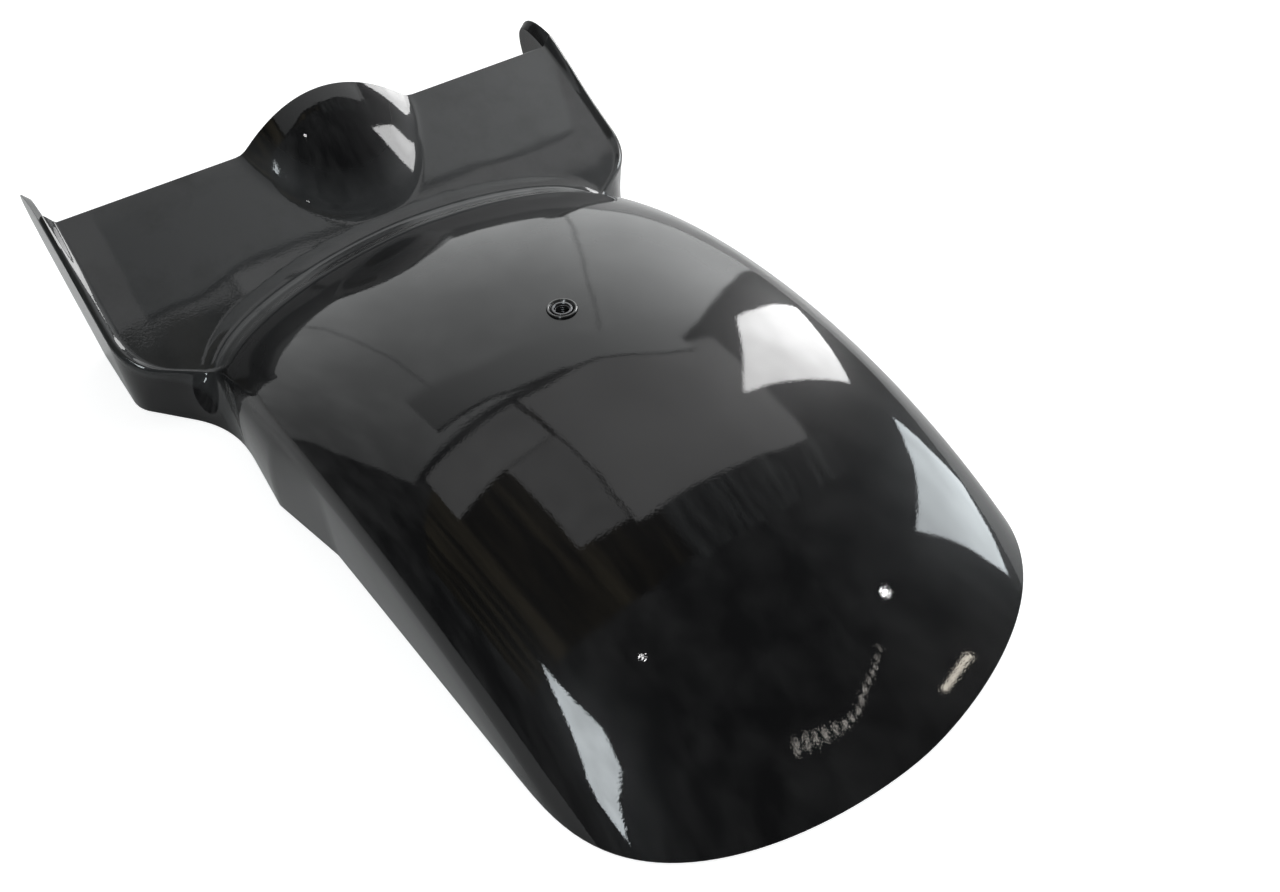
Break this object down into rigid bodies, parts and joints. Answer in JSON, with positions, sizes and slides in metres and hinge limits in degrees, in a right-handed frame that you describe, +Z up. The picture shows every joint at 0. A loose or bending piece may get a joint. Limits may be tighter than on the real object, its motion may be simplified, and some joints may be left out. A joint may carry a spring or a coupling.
{
  "type": "motorcycle rear fender",
  "caption": "Glossy moulded rear fender with a domed wheel cover, rounded tail, sloping seat plate, hump, side panels and a threaded seat nut.",
  "frame": {"origin": "centre of the bounding box, at the level of the rim that the fender stands on", "axes": "+X across, +Y along the fender towards the seat plate, +Z up"},
  "size_m": [0.3494, 0.5262, 0.1115],
  "materials": {
    "shell_gloss": "moulded glass-fibre shell in deep gloss black",
    "grommet_rubber": "smooth black rubber",
    "nut_steel": "dark zinc-plated steel"
  },
  "bodies": {
    "root": {"fender_shell": "shell_gloss", "nut_grommet": "grommet_rubber", "seat_nut": "nut_steel"}
  },
  "joints": []
}
